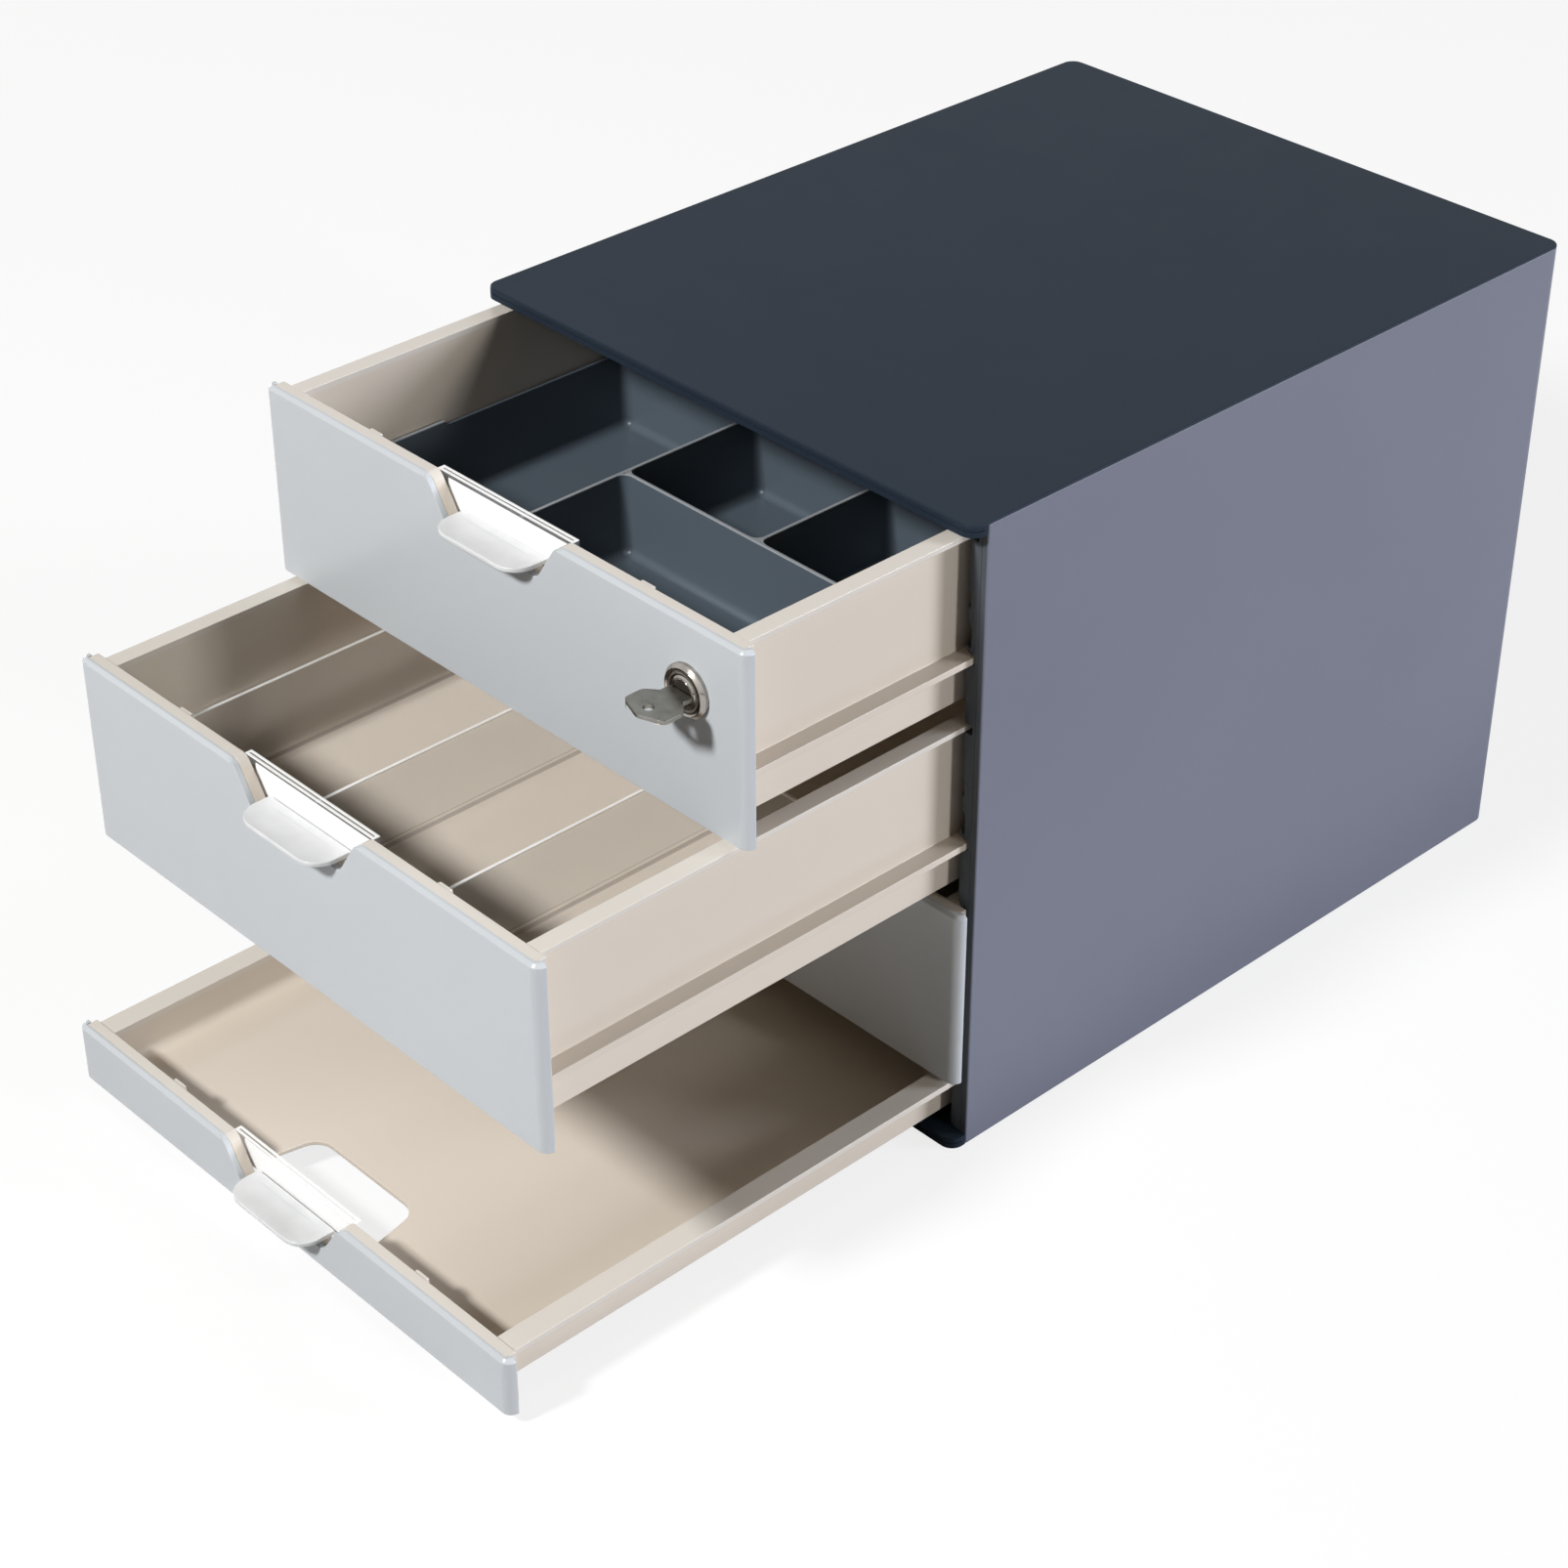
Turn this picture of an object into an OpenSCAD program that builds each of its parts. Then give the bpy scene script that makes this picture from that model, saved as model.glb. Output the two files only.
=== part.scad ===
// Desktop drawer box: plastic housing, three tall drawers, one flat drawer, moulded inserts and a cam lock.
// X runs to the right, Y into the depth, Z up. The origin is the centre of the underside.

/* [Housing] */
// Overall width of the housing
body_w = 280; // [250:1:330]
// Overall depth of the housing, without the pulls
body_d = 356; // [340:1:420]
// Thickness of the top and bottom plates
plate_t = 5; // [4.5:0.5:8]
// Thickness of the top plate's skin that caps the side panels
skin_t = 1; // [0.6:0.1:1.4]
// Plan radius of the plate corners
plate_r = 6; // [5:0.5:10]
// Thickness of the side panels
panel_t = 3; // [2:0.5:4]
// Thickness of the back panel
back_t = 2.5; // [2:0.5:4]
// Length of the side panels' returns round the back corners
back_return = 12; // [11:1:24]
// Diameter of the anti-slip pads
pad_d = 14; // [10:1:24]
// Thickness of the anti-slip pads
pad_t = 1.2; // [1:0.1:2.5]
// Distance of the pad centres from the sides of the bottom plate
pad_inset = 24; // [20:1:60]

/* [Fronts] */
// Height of a tall drawer front
tall_front_h = 83.5; // [76:0.5:110]
// Height of the flat drawer front
flat_front_h = 27; // [26:0.5:45]
// Gap between fronts, and between fronts and plates
front_gap = 0.9; // [0.6:0.1:2]
// Thickness of the cover's face
cover_t = 2.6; // [1.8:0.1:3.4]
// Depth of the cover's rounded ends
cover_end_d = 4.6; // [4.5:0.1:6]
// Plan radius of the cover's ends
cover_r = 4.4; // [3:0.1:4.4]
// Wall of the cover's ends
cover_wall = 3.3; // [2.5:0.1:5]
// Height of the cover's lower lip
cover_lip = 2; // [1:0.1:4]
// Bevel along the cover's upper edge, round the ends too
cover_bevel = 1.4; // [0.5:0.1:1.6]
// Thickness of the tray's front wall behind the cover
front_wall_t = 4.8; // [4:0.1:9]
// How far the front wall's upper edge lies below the cover's
front_wall_drop = 0.3; // [0.1:0.1:1]

/* [Trays] */
// Wall thickness of the trays
tray_wall = 2.4; // [1.6:0.1:3]
// Floor thickness of the trays
tray_floor = 2; // [1.5:0.1:3]
// Height of a tall tray's underside above the lower edge of its front
tall_lift = 6.5; // [4:0.5:8]
// Height of the flat tray's underside above the lower edge of its front
flat_lift = 5.5; // [4:0.5:7]
// Width of the rim flange outside the wall
rim_w = 5.6; // [4:0.1:7.5]
// Thickness of the rim flange
rim_t = 2.4; // [1.6:0.1:3]
// How far the rim lies below the upper edge of the front
rim_drop = 1; // [0.6:0.1:1.6]
// Width of the runner rib outside the wall
rib_w = 8; // [7.6:0.1:11]
// Thickness of the runner rib
rib_t = 3; // [2:0.1:4]
// Height of the rib's underside above the tray's underside
rib_h = 20; // [12:1:28]
// Half distance between the clips of a front
clip_x = 79; // [60:1:100]
// Width of a clip
clip_w = 7; // [4:0.5:12]
// Height of a clip
clip_h = 4.5; // [3:0.5:7]
// How far a clip stands out from the front wall
clip_out = 2; // [1:0.1:3]

/* [Finger hole in the flat drawer] */
// Width of the finger hole at the front
hole_front_w = 76; // [70:1:90]
// Width of the finger hole at the rear
hole_rear_w = 62; // [50:1:68]
// Distance of the finger hole's rear edge from the front wall
hole_l = 34.5; // [25:0.5:45]
// Corner radius of the finger hole
hole_r = 9; // [4:0.5:11]

/* [Runners] */
// Longest pull-out of a drawer
pull_out = 262; // [240:1:280]
// Thickness of the runner frame's web
web_t = 1.6; // [1.2:0.1:3]
// Depth of the runner frame's front post
post_d = 13; // [8:1:18]
// Radius of the post's inner front edge
post_r = 5; // [2:0.5:6]
// Height of the large pocket's lower edge above the rib's underside
large_pocket_z = 6; // [6:0.5:8]
// Height of the large pocket
large_pocket_h = 10; // [6:0.5:14]
// Height of the small pocket's lower edge above the rib's underside
small_pocket_z = 23; // [22.5:0.5:26]
// Height of the small pocket
small_pocket_h = 6; // [3:0.5:8]
// Depth of the pockets in the post's front face
pocket_d = 6; // [4:0.5:7]
// Thickness of a rail
rail_t = 2.5; // [2:0.1:4]
// Height of a stop lug under its rail
lug_h = 3; // [2:0.1:4]
// Length of a stop lug
lug_l = 8; // [4:1:14]

/* [Rest positions] */
// How far the top drawer is open
open_top = 112; // [0:1:240]
// How far the upper drawer is open
open_upper = 210; // [0:1:240]
// How far the lower drawer is open
open_lower = 0; // [0:1:240]
// How far the flat drawer is open
open_flat = 233; // [0:1:240]

/* [Pulls] */
// Width of the notch at the upper edge of the front
notch_top_w = 75.5; // [66:0.5:90]
// Width of the notch at its foot
notch_foot_w = 53; // [44:1:62]
// Depth of the notch
notch_h = 17.5; // [15:0.5:19]
// Radius where the notch meets the upper edge
notch_top_r = 6; // [3:0.5:8]
// Radius in the foot of the notch
notch_foot_r = 3; // [1:0.5:5]
// How far the window plate laps the front wall beside the notch
window_lap = 1.5; // [1:0.5:8]
// How far the window plate reaches below the notch
window_below = 4; // [2:0.5:6]
// Thickness of the window plate
window_t = 3.2; // [2.6:0.1:5]
// Width of the label card
label_w = 70; // [50:1:72]
// Height of the label card
label_h = 12; // [8:0.5:14]
// Thickness of the label card
label_t = 0.4; // [0.2:0.1:0.6]
// Distance of the card's upper edge below the window's
label_drop = 3.5; // [1:0.5:5]
// How far the grip lip stands out from the front
lip_reach = 10; // [7:0.5:14]
// Thickness of the grip lip
lip_t = 2.2; // [1.6:0.1:2.6]
// Height of the lip's upper face above the notch's foot
lip_rise = 4.9; // [4:0.1:7]
// Depth of the hollow in the lip's upper face
lip_dish = 0.7; // [0.2:0.1:1]
// Width of the lip at the front's face
lip_w = 50; // [40:1:51]
// Plan radius of the lip's corners
lip_r = 10; // [4:0.5:10]

/* [Lock] */
// Distance of the lock's axis from the side of the housing
lock_side = 30.5; // [28:0.5:60]
// Distance of the lock's axis below the upper edge of the front
lock_drop = 28; // [25:0.5:28]
// Diameter of the lock's flange
flange_d = 22; // [19:0.5:26]
// Thickness of the lock's flange
flange_t = 3; // [1.5:0.1:4]
// Diameter of the lock's barrel
barrel_d = 14; // [13:0.5:15]
// Length of the barrel behind the front's face
barrel_l = 22; // [18:0.5:24]
// Width across the flats of the lock nut
nut_af = 17; // [16.5:0.5:17.5]
// Thickness of the lock nut
nut_t = 3.5; // [2:0.5:5]
// Diameter of the turning core
core_d = 11; // [10:0.1:11.5]
// Width across the core's square tail
tail_w = 5.4; // [5:0.1:6]
// Thickness of the cam
cam_t = 2; // [1.5:0.1:3]
// Width of the cam
cam_w = 9; // [8.5:0.5:12]
// How far the cam enters the top plate
cam_bite = 2; // [1:0.1:2.2]
// Diameter of the cam screw's shank
screw_d = 3; // [2.5:0.1:3.4]
// Diameter of the cam screw's head
screw_head_d = 6.5; // [5:0.5:8]
// Height of the cam screw's head
screw_head_t = 1.8; // [1.2:0.1:2.5]

/* [Key] */
// Thickness of the key
key_t = 1.8; // [1.4:0.1:2]
// Width of the key's blade
blade_w = 8; // [6.5:0.1:8.4]
// Depth of the blade in the core
blade_l = 15; // [10:0.5:15]
// Width of the neck between blade and bow
neck_w = 12; // [9:0.5:14]
// Distance of the bow's inner edge from the front's face
bow_start = 8; // [6:0.5:14]
// Width of the bow
bow_w = 22; // [18:0.5:28]
// Length of the bow
bow_l = 16.7; // [14:0.1:24]
// Bevel of the bow's corners
bow_cut = 4; // [2:0.5:6]
// Side of the bow's square hole
bow_hole = 4; // [2:0.5:5]

/* [Inserts] */
// Length of the inserts
insert_l = 166; // [140:1:175]
// Wall and floor thickness of the inserts
insert_wall = 1.6; // [1.2:0.1:2.4]
// Corner radius of the compartments
insert_r = 4; // [2:0.5:6]
// Distance of the partitions from the middle
partition_x = 40; // [34:1:48]
// Distance of the capsule insert's rear partition from the middle
rear_partition_x = 37; // [20:1:60]
// Length of the wide front compartment of the capsule insert
front_bay_l = 90; // [70:1:105]
// Height of the step in the capsule insert's left wall
step_h = 2; // [1:0.5:5]
// Distance of the step from the insert's front
step_y = 67; // [40:1:100]

/* [Clearances] */
// Gap between a closed front and what it closes on
closed_gap = 0.6; // [0.3:0.1:1]
// Gap between parts that are fixed together
fit_gap = 0.15; // [0.1:0.05:0.3]
// Gap between a tray's wall and the post
post_gap = 1.6; // [0.8:0.1:2.5]
// Gap between the post's upper end and the top plate
post_top_gap = 0.8; // [0.5:0.1:1.2]
// Side gap between the runner ribs and the frame's web
side_gap = 0.4; // [0.3:0.1:0.8]
// Gap between a runner rib and its rail
seat_gap = 0.2; // [0.1:0.1:0.4]
// Play above a rib or rim in its slot
slot_gap = 0.8; // [0.5:0.1:1.5]
// Gap left at the pull-out stop
stop_gap = 0.3; // [0.2:0.1:0.6]
// Gap between a tray and the back panel
tray_back_gap = 6.5; // [4:0.5:12]
// Gap between an insert and the tray's walls
insert_gap = 0.5; // [0.4:0.1:2]
// Gap between the top insert and the lock's nut above it
insert_top_gap = 0.5; // [0.4:0.1:4]
// Radial running gap of the lock's core
core_gap = 0.08; // [0.05:0.01:0.1]
// Gap of the key in its keyway
key_gap = 0.3; // [0.2:0.05:0.3]
// Gap of the cam in its pocket
cam_gap = 0.6; // [0.4:0.1:0.8]

/* [Hidden] */
$fn = 48;
// Overlap that carries a cut clear of a face
cut = 1;
// Steps along a rounded corner of an outline
arc_steps = 6;
front_y = -body_d / 2;
back_y = body_d / 2;
side_x = body_w / 2;
flat_z = plate_t + front_gap;
lower_z = flat_z + flat_front_h + front_gap;
upper_z = lower_z + tall_front_h + front_gap;
top_z = upper_z + tall_front_h + front_gap;
body_h = top_z + tall_front_h + front_gap + plate_t;
wall_back = cover_t + front_wall_t;
post_front = wall_back + closed_gap;
post_back = post_front + post_d;
web_in = side_x - panel_t - web_t;
tray_x = web_in - side_gap - rib_w;
post_in = tray_x + post_gap;
inner_back = body_d - panel_t - back_t;
tray_d = inner_back - tray_back_gap;
cover_w = body_w - 2 * fit_gap;
seat_w = cover_w - 2 * cover_wall;
lug_y = post_back + pull_out + stop_gap;
tall_rib_z = tall_lift + rib_h;
tall_rim_z = tall_front_h - rim_drop - rim_t;
flat_rim_z = flat_front_h - rim_drop - rib_t;
notch_slant = atan((notch_top_w - notch_foot_w) / 2 / notch_h);
window_w = notch_top_w + 2 * window_lap;
slot_t = label_t + 2 * fit_gap;
slot_y = wall_back + (window_t - slot_t) / 2;
card_low = front_wall_drop + label_drop + label_h;
lock_x = side_x - lock_side;
lock_z = tall_front_h - lock_drop;
core_back = barrel_l + fit_gap;
cam_l = lock_drop + front_gap + cam_bite;
cam_back = core_back + cam_t;
keyway_t = key_t + 2 * key_gap;
keyway_w = blade_w + 2 * key_gap;
insert_w = 2 * (tray_x - tray_wall - insert_gap);
insert_y = wall_back + insert_gap;
insert_z = tall_lift + tray_floor;
insert_h = lock_z - nut_af / 2 - insert_top_gap - insert_z;
SLATE = [0.25, 0.28, 0.32];
DARK = [0.16, 0.18, 0.21];
GREY = [0.76, 0.79, 0.81];
CREAM = [0.88, 0.85, 0.80];
CLEAR = [0.85, 0.88, 0.90, 0.5];
NICKEL = [0.75, 0.74, 0.71];

// Points of an arc about a centre
function arc(centre, r, from, to) =
    [for (i = [0:arc_steps]) centre + r * [cos(from + (to - from) * i / arc_steps),
                                           sin(from + (to - from) * i / arc_steps)]];

// The same points on the other side of the middle, in reverse order
function mirrored(points) = [for (i = [len(points) - 1:-1:0]) [-points[i][0], points[i][1]]];

// Half outline of the notch: x from the middle, z from the upper edge of the front
function notch_half() =
    let (reach = tan((90 - notch_slant) / 2),
         top = [notch_top_w / 2 + notch_top_r * reach, -notch_top_r],
         foot = [notch_foot_w / 2 - notch_foot_r * reach, notch_foot_r - notch_h])
    concat([[top[0], cut]], arc(top, notch_top_r, 90, 180 - notch_slant),
           arc(foot, notch_foot_r, -notch_slant, -90));

// Height of the lip's hollow upper face above the notch's foot, by distance from the front's face
function lip_top(y) =
    let (t = (wall_back - y) / (wall_back + lip_reach))
    lip_rise - 4 * lip_dish * t * (1 - t);

// A rectangle with round corners, centred
module rounded(w, d, r) {
    square([w - 2 * r, d], center = true);
    square([w, d - 2 * r], center = true);
    for (x = [-1, 1], y = [-1, 1]) translate([x * (w / 2 - r), y * (d / 2 - r)]) circle(r);
}

// Carries a drawer's piece from its own frame, with the front's lower edge at the origin, to its place
module placed(open, z) {
    translate([0, front_y - open, z]) children();
}

// Plan of one side panel with its return, grown by a fit on its inner faces
module panel_plan(side, fit, out) {
    intersection() {
        difference() {
            rounded(body_w + 2 * out, body_d + 2 * out, plate_r + out);
            rounded(body_w - 2 * (panel_t + fit), body_d - 2 * (panel_t + fit), plate_r - panel_t);
        }
        translate([side > 0 ? side_x - back_return - fit : -side_x - cut - out, front_y + post_front - fit])
            square([back_return + fit + cut + out, body_d + cut]);
    }
}

// A plate with the recesses that take the side panels, inner face at z = 0, under a skin of a given thickness
module plate(skin) {
    depth = skin > 0 ? plate_t - skin : plate_t + cut;
    difference() {
        linear_extrude(plate_t) rounded(body_w, body_d, plate_r);
        for (side = [-1, 1])
            translate([0, 0, -cut]) linear_extrude(depth + cut) panel_plan(side, fit_gap, cut);
    }
}

module top_panel() {
    color(SLATE) difference() {
        translate([0, 0, body_h - plate_t]) plate(skin_t);
        translate([0, front_y, top_z]) strike_pocket();
    }
}

// Pocket in the top plate that the cam turns up into
module strike_pocket() {
    swing = sqrt(pow(cam_l, 2) - pow(cam_l - cam_bite, 2)) + cam_w / 2;
    ceiling = tall_front_h + front_gap + cam_bite + cam_gap;
    translate([lock_x - swing - cam_gap, core_back - cam_gap, tall_front_h])
        cube([swing + cam_w / 2 + 2 * cam_gap, cam_t + 2 * cam_gap, ceiling - tall_front_h]);
}

module bottom_panel() {
    color(SLATE) difference() {
        translate([0, 0, plate_t]) mirror([0, 0, 1]) plate(0);
        pad_places() translate([0, 0, -cut]) cylinder(d = pad_d + 2 * fit_gap, h = pad_t + cut);
    }
}

module pad_places() {
    for (x = [-1, 1], y = [-1, 1])
        translate([x * (side_x - pad_inset), y * (back_y - pad_inset), 0]) children();
}

module rubber_pads() {
    color("black") pad_places() cylinder(d = pad_d, h = pad_t);
}

module side_panel(side) {
    color(SLATE) linear_extrude(body_h - skin_t) panel_plan(side, 0, 0);
}

module left_side_panel() {
    side_panel(-1);
}

module right_side_panel() {
    side_panel(1);
}

module back_panel() {
    inner_w = body_w - 2 * plate_r;
    color(SLATE) translate([-inner_w / 2, front_y + inner_back, plate_t])
        cube([inner_w, back_t, body_h - 2 * plate_t]);
}

// Plan of the front post with its round inner front edge
module post_plan() {
    post_w = web_in - post_in;
    intersection() {
        translate([post_in, 0]) square([post_w, post_d]);
        union() {
            translate([post_in + post_r, 0]) square([post_w, post_d]);
            translate([post_in, post_r]) square([post_w, post_d]);
            translate([post_in + post_r, post_r]) circle(post_r);
        }
    }
}

// Cut through a post from its inner face to the web, between two heights
module post_slot(low, high) {
    translate([post_in - cut, -cut, low]) cube([web_in - post_in + cut, post_d + 2 * cut, high - low]);
}

// Blind pocket in a post's front face
module post_pocket(w, low, h) {
    translate([post_in - cut, -cut, low]) cube([w + cut, pocket_d + cut, h]);
}

// Runner frame of the right side: web, front post with its slots, and one rail under each drawer
module runner_frame() {
    rib_zs = [top_z + tall_rib_z, upper_z + tall_rib_z, lower_z + tall_rib_z, flat_z + flat_rim_z];
    tall_zs = [top_z, upper_z, lower_z];
    post_w = web_in - post_in;
    inner_h = body_h - 2 * plate_t;
    frame_l = tray_d - post_front;
    color(DARK) translate([0, front_y + post_front, 0]) {
        translate([web_in, 0, plate_t]) cube([web_t, frame_l, inner_h]);
        difference() {
            translate([0, 0, plate_t]) linear_extrude(inner_h - post_top_gap) post_plan();
            for (z = rib_zs) post_slot(z - seat_gap, z + rib_t + slot_gap);
            for (z = tall_zs) {
                post_slot(z + tall_rim_z - slot_gap, z + tall_front_h - rim_drop + slot_gap);
                post_pocket(post_w * 2 / 3, z + tall_rib_z + large_pocket_z, large_pocket_h);
                post_pocket(post_w / 2, z + tall_rib_z + small_pocket_z, small_pocket_h);
            }
        }
        for (z = rib_zs)
            translate([post_in, post_d, z - seat_gap - rail_t]) cube([post_w, frame_l - post_d, rail_t]);
    }
}

module left_runner_frame() {
    mirror([1, 0, 0]) runner_frame();
}

module right_runner_frame() {
    runner_frame();
}

// Notch of a front, cut through its whole thickness
module notch_cut(h) {
    translate([0, wall_back + cut, h]) rotate([90, 0, 0]) linear_extrude(wall_back + 2 * cut)
        polygon(concat(notch_half(), mirrored(notch_half())));
}

// Hole for the lock's barrel through a front
module lock_hole() {
    translate([lock_x, -cut, lock_z]) rotate([-90, 0, 0])
        cylinder(d = barrel_d + 2 * fit_gap, h = wall_back + 2 * cut);
}

// Block of a cover: straight middle and round ends, with one bevel along the upper edge
module cover_block(h) {
    middle = cover_w - 2 * cover_r;
    side = [[0, 0], [cover_end_d, 0], [cover_end_d, h], [cover_bevel, h], [0, h - cover_bevel]];
    intersection() {
        union() {
            translate([-middle / 2, 0, 0]) rotate([90, 0, 90]) linear_extrude(middle) polygon(side);
            for (x = [-1, 1]) translate([x * middle / 2, cover_r, 0]) {
                cylinder(r = cover_r, h = h - cover_bevel);
                translate([0, 0, h - cover_bevel])
                    cylinder(r1 = cover_r, r2 = cover_r - cover_bevel, h = cover_bevel);
            }
        }
        translate([-cover_w / 2, 0, 0]) cube([cover_w, cover_end_d, h]);
    }
}

// Grey cover with rounded ends, a seat for the tray's front wall and the notch
module front_cover(h) {
    color(GREY) difference() {
        cover_block(h);
        translate([-seat_w / 2, cover_t, cover_lip]) cube([seat_w, cover_end_d, h]);
        notch_cut(h);
    }
}

// Flanges on both sides of a tray
module side_flanges(w, t, z) {
    for (side = [-1, 1])
        translate([side > 0 ? tray_x - tray_wall : -tray_x - w, wall_back - cut, z])
            cube([tray_wall + w, tray_d - wall_back + cut, t]);
}

// Stop lugs on both walls of a tray, under the rails of a runner whose underside is at z
module stop_lugs(z) {
    low = z - seat_gap - rail_t - slot_gap - lug_h;
    for (side = [-1, 1])
        translate([side > 0 ? tray_x - tray_wall : -tray_x - rib_w, lug_y, low])
            cube([tray_wall + rib_w, lug_l, lug_h]);
}

// Tray behind a front of a given height, with its front wall, runner flanges, stop lugs and clips
module tray(h, lift, runner_z) {
    rim_top = h - rim_drop;
    wall_w = seat_w - 2 * fit_gap;
    wall_z = cover_lip + fit_gap;
    difference() {
        union() {
            translate([-tray_x, wall_back - cut, lift])
                cube([2 * tray_x, tray_d - wall_back + cut, rim_top - lift]);
            translate([-wall_w / 2, cover_t, wall_z])
                cube([wall_w, front_wall_t, h - front_wall_drop - wall_z]);
            side_flanges(rib_w, rib_t, runner_z);
            stop_lugs(runner_z);
            if (runner_z + rib_t < rim_top) side_flanges(rim_w, rim_t, rim_top - rim_t);
        }
        translate([-tray_x + tray_wall, wall_back, lift + tray_floor])
            cube([2 * (tray_x - tray_wall), tray_d - wall_back - tray_wall, h]);
        notch_cut(h);
    }
    for (side = [-1, 1])
        translate([side * clip_x - clip_w / 2, wall_back, rim_top - clip_h]) cube([clip_w, clip_out, clip_h]);
}

module tall_tray() {
    color(CREAM) tray(tall_front_h, tall_lift, tall_rib_z);
}

module top_tray() {
    color(CREAM) placed(open_top, top_z) difference() {
        tall_tray();
        lock_hole();
    }
}

module upper_tray() {
    placed(open_upper, upper_z) tall_tray();
}

module lower_tray() {
    placed(open_lower, lower_z) tall_tray();
}

// Half outline of the finger hole: x from the middle, y from the front wall
function hole_half() =
    let (slant = atan((hole_front_w - hole_rear_w) / 2 / hole_l),
         reach = tan((90 - slant) / 2))
    concat([[hole_front_w / 2, 0]],
           arc([hole_rear_w / 2 - hole_r * reach, hole_l - hole_r], hole_r, slant, 90));

module flat_tray() {
    color(CREAM) placed(open_flat, flat_z) difference() {
        tray(flat_front_h, flat_lift, flat_rim_z);
        translate([0, wall_back, flat_lift - cut]) linear_extrude(tray_floor + 2 * cut)
            polygon(concat(hole_half(), mirrored(hole_half())));
    }
}

module top_front_cover() {
    color(GREY) placed(open_top, top_z) difference() {
        front_cover(tall_front_h);
        lock_hole();
    }
}

module upper_front_cover() {
    placed(open_upper, upper_z) front_cover(tall_front_h);
}

module lower_front_cover() {
    placed(open_lower, lower_z) front_cover(tall_front_h);
}

module flat_front_cover() {
    placed(open_flat, flat_z) front_cover(flat_front_h);
}

// Side profile of the lip: y from the front's face, z from the notch's foot
module lip_profile() {
    steps = 2 * arc_steps;
    ys = [for (i = [0:steps]) wall_back - (wall_back + lip_reach) * i / steps];
    under = lip_rise - lip_t;
    polygon(concat([for (y = ys) [y, lip_top(y)]], [[-lip_reach, under], [wall_back, under]]));
}

// Plan of the lip with round front corners
module lip_plan() {
    half = lip_w / 2;
    translate([-half, lip_r - lip_reach]) square([lip_w, lip_reach + wall_back]);
    translate([lip_r - half, -lip_reach]) square([lip_w - 2 * lip_r, lip_reach]);
    for (side = [-1, 1]) translate([side * (half - lip_r), lip_r - lip_reach]) circle(lip_r);
}

// Clear window plate with the card's slot, and the grip lip that comes forward through the notch
module pull(h, lift) {
    window_low = max(h - notch_h - window_below, lift + tray_floor + fit_gap);
    plate_h = h - front_wall_drop - window_low;
    color(CLEAR) {
        difference() {
            translate([-window_w / 2, wall_back, window_low]) cube([window_w, window_t, plate_h]);
            translate([-label_w / 2 - fit_gap, slot_y, h - card_low])
                cube([label_w + 2 * fit_gap, slot_t, plate_h]);
        }
        translate([0, 0, h - notch_h]) intersection() {
            translate([-body_w / 2, 0, 0]) rotate([90, 0, 90]) linear_extrude(body_w) lip_profile();
            linear_extrude(notch_h) lip_plan();
        }
    }
}

// Card in the window's slot
module label(h) {
    color("white") translate([-label_w / 2, slot_y + fit_gap, h - card_low])
        cube([label_w, label_t, label_h]);
}

module top_pull() {
    placed(open_top, top_z) pull(tall_front_h, tall_lift);
}

module upper_pull() {
    placed(open_upper, upper_z) pull(tall_front_h, tall_lift);
}

module lower_pull() {
    placed(open_lower, lower_z) pull(tall_front_h, tall_lift);
}

module flat_pull() {
    placed(open_flat, flat_z) pull(flat_front_h, flat_lift);
}

module top_label() {
    placed(open_top, top_z) label(tall_front_h);
}

module upper_label() {
    placed(open_upper, upper_z) label(tall_front_h);
}

module lower_label() {
    placed(open_lower, lower_z) label(tall_front_h);
}

module flat_label() {
    placed(open_flat, flat_z) label(flat_front_h);
}

// Carries a lock piece from the lock's frame, axis along Z into the drawer and face at z = 0, to its place
module lock_placed() {
    placed(open_top, top_z) translate([lock_x, 0, lock_z]) rotate([-90, 0, 0]) children();
}

module lock_barrel() {
    color(NICKEL) lock_placed() difference() {
        union() {
            translate([0, 0, -flange_t]) cylinder(d1 = flange_d - flange_t, d2 = flange_d, h = flange_t / 2);
            translate([0, 0, -flange_t / 2]) cylinder(d = flange_d, h = flange_t / 2);
            cylinder(d = barrel_d, h = barrel_l);
        }
        translate([0, 0, -flange_t - cut])
            cylinder(d = core_d + 2 * core_gap, h = flange_t + barrel_l + 2 * cut);
    }
}

module lock_nut() {
    color(NICKEL) lock_placed() translate([0, 0, wall_back]) difference() {
        cylinder(d = nut_af / cos(30), h = nut_t, $fn = 6);
        translate([0, 0, -cut]) cylinder(d = barrel_d + 2 * fit_gap, h = nut_t + 2 * cut);
    }
}

module lock_plug() {
    color(NICKEL) lock_placed() difference() {
        union() {
            translate([0, 0, -flange_t]) cylinder(d = core_d, h = flange_t + core_back);
            translate([-tail_w / 2, -tail_w / 2, core_back]) cube([tail_w, tail_w, cam_t]);
        }
        translate([-keyway_w / 2, -keyway_t / 2, -flange_t - cut])
            cube([keyway_w, keyway_t, flange_t + cut + blade_l + key_gap]);
        translate([0, 0, core_back - cam_t]) cylinder(d = screw_d + 2 * fit_gap, h = 2 * cam_t + cut);
    }
}

// Cam with a round end, pointing to the left while the lock is open
module lock_cam() {
    color(NICKEL) lock_placed() translate([0, 0, core_back]) difference() {
        union() {
            cylinder(d = cam_w, h = cam_t);
            translate([-cam_l, -cam_w / 2, 0]) cube([cam_l, cam_w, cam_t]);
        }
        translate([-tail_w / 2 - fit_gap, -tail_w / 2 - fit_gap, -cut])
            cube([tail_w + 2 * fit_gap, tail_w + 2 * fit_gap, cam_t + 2 * cut]);
    }
}

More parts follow.
